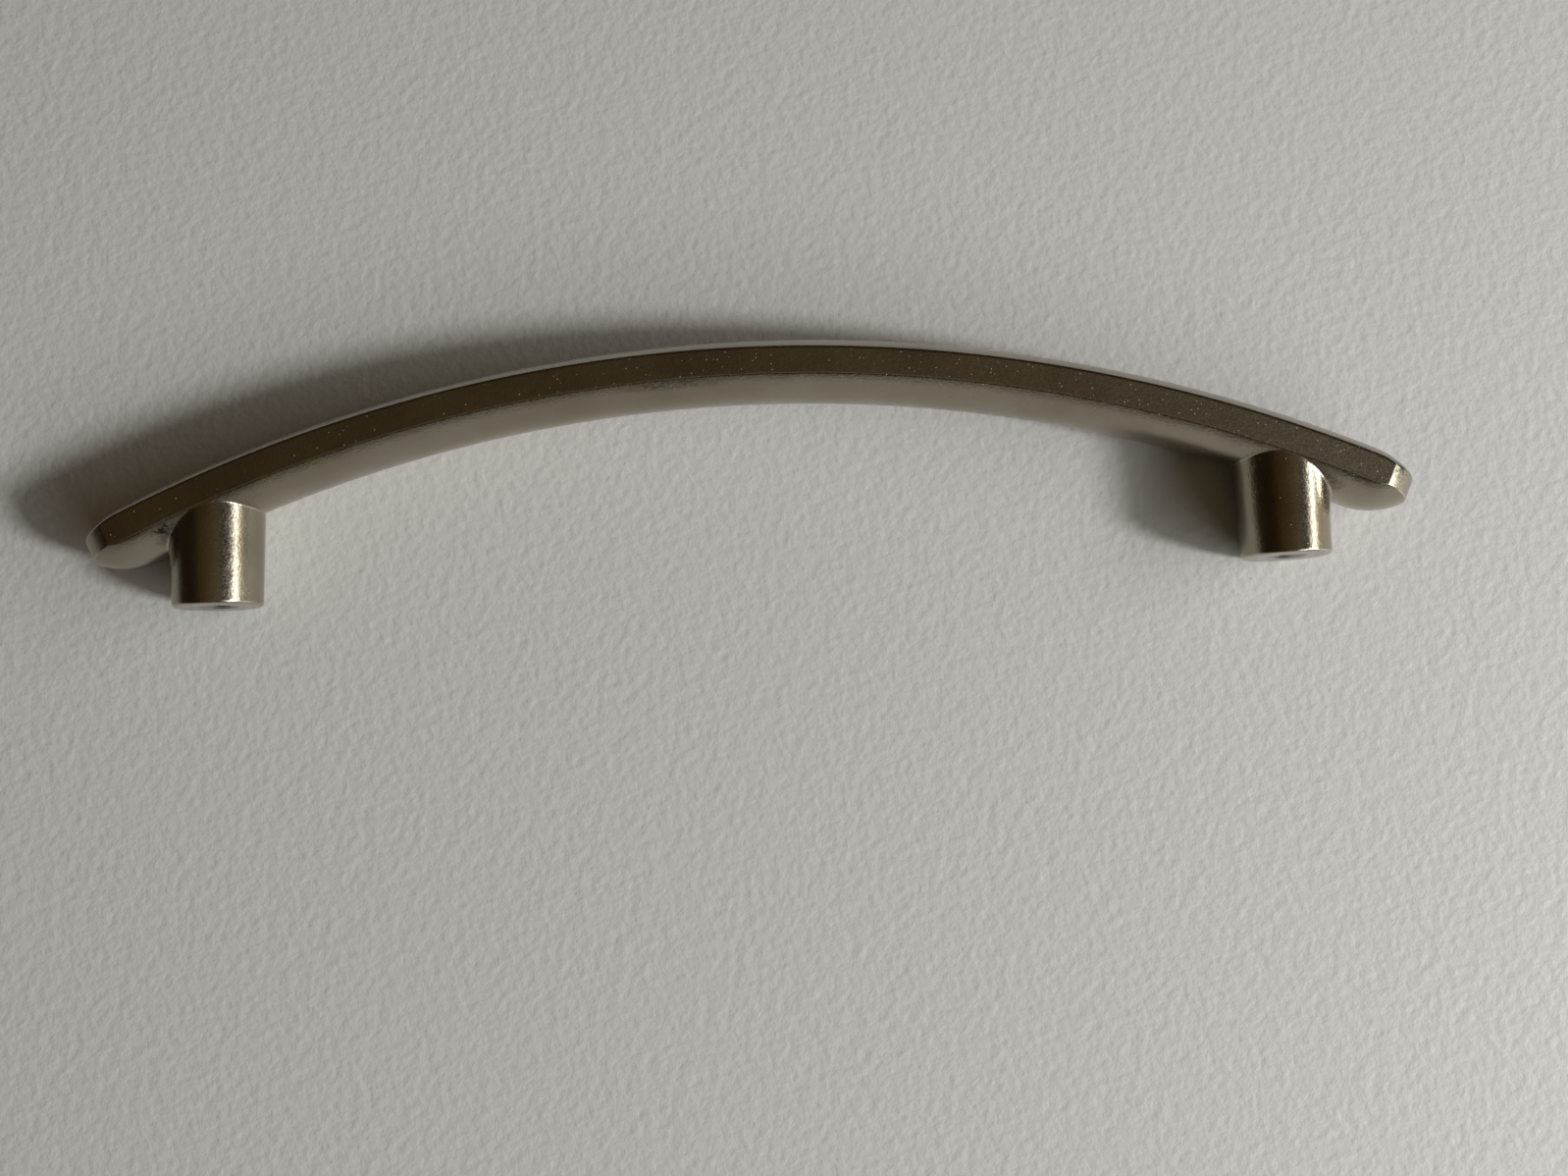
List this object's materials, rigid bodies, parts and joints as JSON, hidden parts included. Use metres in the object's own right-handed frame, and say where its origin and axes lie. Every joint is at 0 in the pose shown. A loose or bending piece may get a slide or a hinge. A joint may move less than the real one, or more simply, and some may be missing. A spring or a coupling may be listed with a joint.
{
  "type": "bridge pull handle",
  "caption": "Arched one-piece metal pull handle: a crowned bar with domed ends on short flared round posts, each with a blind screw hole in its end.",
  "frame": {"origin": "halfway between the two screw holes, on the plane of the post ends, at the middle of the bar's width", "axes": "+X along the bar, through both screw holes; +Y out of the post ends, towards the drawer front that the handle is fixed to, so the bar arches to -Y; +Z across the bar's width, up, square to the plane of the arch"},
  "size_m": [0.1584, 0.0291, 0.0114],
  "materials": {
    "satin_nickel": "satin"
  },
  "bodies": {
    "root": {"handle": "satin_nickel"}
  },
  "joints": []
}
